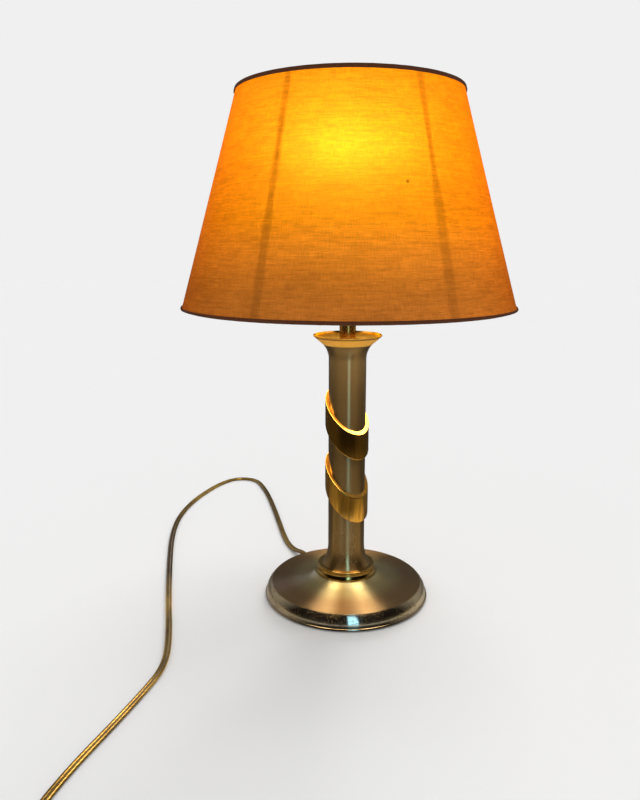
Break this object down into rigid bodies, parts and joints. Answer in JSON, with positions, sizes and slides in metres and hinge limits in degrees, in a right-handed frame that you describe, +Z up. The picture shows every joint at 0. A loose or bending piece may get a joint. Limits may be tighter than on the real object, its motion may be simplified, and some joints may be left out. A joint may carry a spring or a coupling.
{
  "type": "table lamp",
  "caption": "Table lamp: weighted disc base, satin column in two slanted polished bands, screw bulb in a switched holder, tapered fabric shade and a flat flex with a coil and plug.",
  "frame": {"origin": "on the floor under the column's axis", "axes": "+Z up along the column, front of the lamp towards -Y, switch towards +X"},
  "size_m": [0.3361, 0.7151, 0.4406],
  "materials": {
    "satin_base": "satin bronze plating, polished edge",
    "satin_column": "satin bronze plating",
    "polished_brass": "polished",
    "holder_brass": "satin",
    "steel": "zinc plated",
    "cast_weight": "rough cast",
    "felt": "felt",
    "holder_ceramic": "unglazed",
    "contact_metal": "plain",
    "dark_plastic": "moulded",
    "pale_plastic": "moulded",
    "opal_glass": "opal, lit",
    "clear_glass": "clear",
    "bulb_metal": "rolled thread",
    "filament": "wire",
    "shade_fabric": "woven cotton",
    "shade_trim": "rolled binding",
    "frame_wire": "powder coated wire",
    "cord_plastic": "gold-tinted clear sheath",
    "tie_wire": "coated wire",
    "plug_plastic": "gold-tinted moulding",
    "pin_metal": "nickel plated"
  },
  "bodies": {
    "stand": {"base_shell": "satin_base", "base_felt": "felt", "base_weight": "cast_weight", "base_washer": "steel", "base_nut": "steel", "threaded_rod": "steel", "foot_collar": "polished_brass", "column": "satin_column", "upper_band": "polished_brass", "lower_band": "polished_brass", "band_screws": "polished_brass", "column_cap": "polished_brass", "neck_tube": "polished_brass", "holder_cup": "holder_brass", "holder_nut": "steel", "holder_sleeve": "holder_brass", "holder_insert": "holder_ceramic", "screw_shell": "contact_metal", "centre_contact": "contact_metal", "terminal_screws": "contact_metal", "switch_block": "dark_plastic", "cord_bushing": "cord_plastic", "inner_cord": "cord_plastic", "cord": "cord_plastic", "cord_coil": "cord_plastic", "cord_tie": "tie_wire", "plug_body": "plug_plastic", "plug_pins": "pin_metal"},
    "shade": {"shade_fabric": "shade_fabric", "shade_bottom_trim": "shade_trim", "shade_top_trim": "shade_trim", "shade_bottom_ring": "frame_wire", "shade_top_ring": "frame_wire", "shade_rib_1": "frame_wire", "shade_rib_2": "frame_wire", "shade_rib_3": "frame_wire", "shade_rib_4": "frame_wire", "shade_rib_5": "frame_wire", "shade_rib_6": "frame_wire", "shade_arm_1": "frame_wire", "shade_arm_2": "frame_wire", "shade_arm_3": "frame_wire", "shade_fitter": "frame_wire"},
    "clamp_ring": {"shade_clamp_ring": "pale_plastic"},
    "switch": {"switch_knob": "dark_plastic"},
    "bulb": {"bulb_glass": "opal_glass", "bulb_cap": "bulb_metal", "bulb_insulator": "dark_plastic", "bulb_contact": "bulb_metal", "bulb_stem": "clear_glass", "bulb_filament": "filament"}
  },
  "joints": [
    {"name": "shade_swivel", "type": "hinge", "parent": "stand", "child": "shade", "pos_m": [0, 0, 0.2805], "axis": [0, 0, 1], "continuous": true},
    {"name": "clamp_ring_turn", "type": "hinge", "parent": "stand", "child": "clamp_ring", "pos_m": [0, 0, 0.2817], "axis": [0, 0, 1], "continuous": true},
    {"name": "switch_turn", "type": "hinge", "parent": "stand", "child": "switch", "pos_m": [0.02, 0, 0.267], "axis": [1, 0, 0], "continuous": true},
    {"name": "bulb_lift", "type": "slide", "parent": "stand", "child": "bulb", "axis": [0, 0, 1], "range_m": [0, 0.16]}
  ]
}
